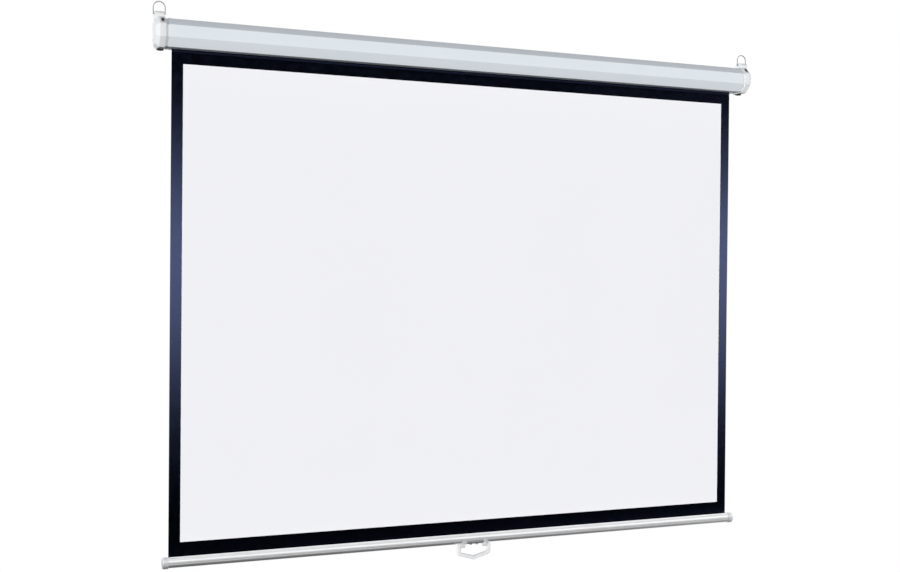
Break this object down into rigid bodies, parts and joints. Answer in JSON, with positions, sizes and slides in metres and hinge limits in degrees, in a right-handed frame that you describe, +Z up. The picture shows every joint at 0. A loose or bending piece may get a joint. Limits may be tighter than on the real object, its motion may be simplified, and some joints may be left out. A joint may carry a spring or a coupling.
{
  "type": "pull-down projector screen",
  "caption": "Wall-hung pull-down projection screen: a long case with end caps and hanging rings, a spring roller, a white sheet with black borders, a weight bar and a pull handle.",
  "frame": {"origin": "centre of the case's flat back, which lies against the wall", "axes": "+X along the case to the viewer's right, +Y into the wall, so the screen faces -Y, +Z up"},
  "size_m": [1.7552, 0.0725, 1.4566],
  "materials": {
    "painted_case": "satin",
    "white_plastic": "satin",
    "black_rubber": "matte",
    "ring_steel": "polished",
    "zinc_steel": "satin",
    "spring_steel": "satin",
    "nylon": "matte",
    "screen_cloth": "matte",
    "painted_bar": "satin",
    "steel_rod": "satin"
  },
  "bodies": {
    "housing": {"case_shell": "painted_case", "left_end_cap": "white_plastic", "right_end_cap": "white_plastic", "left_hanger_lug": "white_plastic", "right_hanger_lug": "white_plastic", "left_foot_plug": "black_rubber", "right_foot_plug": "black_rubber", "left_blank_plug": "black_rubber", "right_blank_plug": "black_rubber", "left_lug_screw": "zinc_steel", "right_lug_screw": "zinc_steel", "left_case_screw_1": "zinc_steel", "left_case_screw_2": "zinc_steel", "right_case_screw_1": "zinc_steel", "right_case_screw_2": "zinc_steel", "left_bracket": "zinc_steel", "right_bracket": "zinc_steel", "left_bracket_screw_1": "zinc_steel", "left_bracket_screw_2": "zinc_steel", "right_bracket_screw_1": "zinc_steel", "right_bracket_screw_2": "zinc_steel", "idler_bush": "nylon", "spring_arbor": "steel_rod", "ratchet_wheel": "zinc_steel", "spring_anchor": "nylon", "torsion_spring": "spring_steel"},
    "roller": {"roller_tube": "zinc_steel", "wrapped_cloth": "screen_cloth", "spring_end_plug": "nylon", "idler_end_plug": "nylon", "idler_pin": "steel_rod", "arbor_guide": "nylon", "pawl_pin_1": "steel_rod", "pawl_pin_2": "steel_rod"},
    "pawl_1": {"pawl_1": "zinc_steel"},
    "pawl_2": {"pawl_2": "zinc_steel"},
    "screen": {"screen_sheet": "screen_cloth", "hem_rod": "steel_rod", "weight_bar": "painted_bar", "left_bar_plug": "white_plastic", "right_bar_plug": "white_plastic", "handle_bracket": "white_plastic", "handle_screw_1": "zinc_steel", "handle_screw_2": "zinc_steel"},
    "handle": {"pull_handle": "white_plastic"},
    "left_ring": {"left_hanging_ring": "ring_steel"},
    "right_ring": {"right_hanging_ring": "ring_steel"}
  },
  "joints": [
    {"name": "screen_slide", "type": "slide", "parent": "housing", "child": "screen", "axis": [0, 0, 1], "range_m": [0, 1.26], "deforming": ["screen_sheet"]},
    {"name": "roller_spin", "type": "hinge", "parent": "housing", "child": "roller", "pos_m": [0, -0.03895, 0.003], "axis": [1, 0, 0], "range_deg": [0, 3240]},
    {"name": "pawl_1_swing", "type": "hinge", "parent": "roller", "child": "pawl_1", "pos_m": [-0.8364, -0.03895, 0.0175], "axis": [-1, 0, 0], "range_deg": [-14, 0]},
    {"name": "pawl_2_swing", "type": "hinge", "parent": "roller", "child": "pawl_2", "pos_m": [-0.8364, -0.03895, -0.0115], "axis": [-1, 0, 0], "range_deg": [-14, 0]},
    {"name": "handle_swing", "type": "hinge", "parent": "screen", "child": "handle", "pos_m": [0, -0.025, -1.33705], "axis": [1, 0, 0], "range_deg": [-115, 25]},
    {"name": "left_ring_swing", "type": "hinge", "parent": "housing", "child": "left_ring", "pos_m": [-0.8616, -0.031, 0.0468], "axis": [1, 0, 0], "range_deg": [-65, 105]},
    {"name": "right_ring_swing", "type": "hinge", "parent": "housing", "child": "right_ring", "pos_m": [0.8616, -0.031, 0.0468], "axis": [1, 0, 0], "range_deg": [-65, 105]}
  ],
  "couplings": [
    {"joint": "roller_spin", "follows": "screen_slide", "rad_per_m": 44.88}
  ]
}
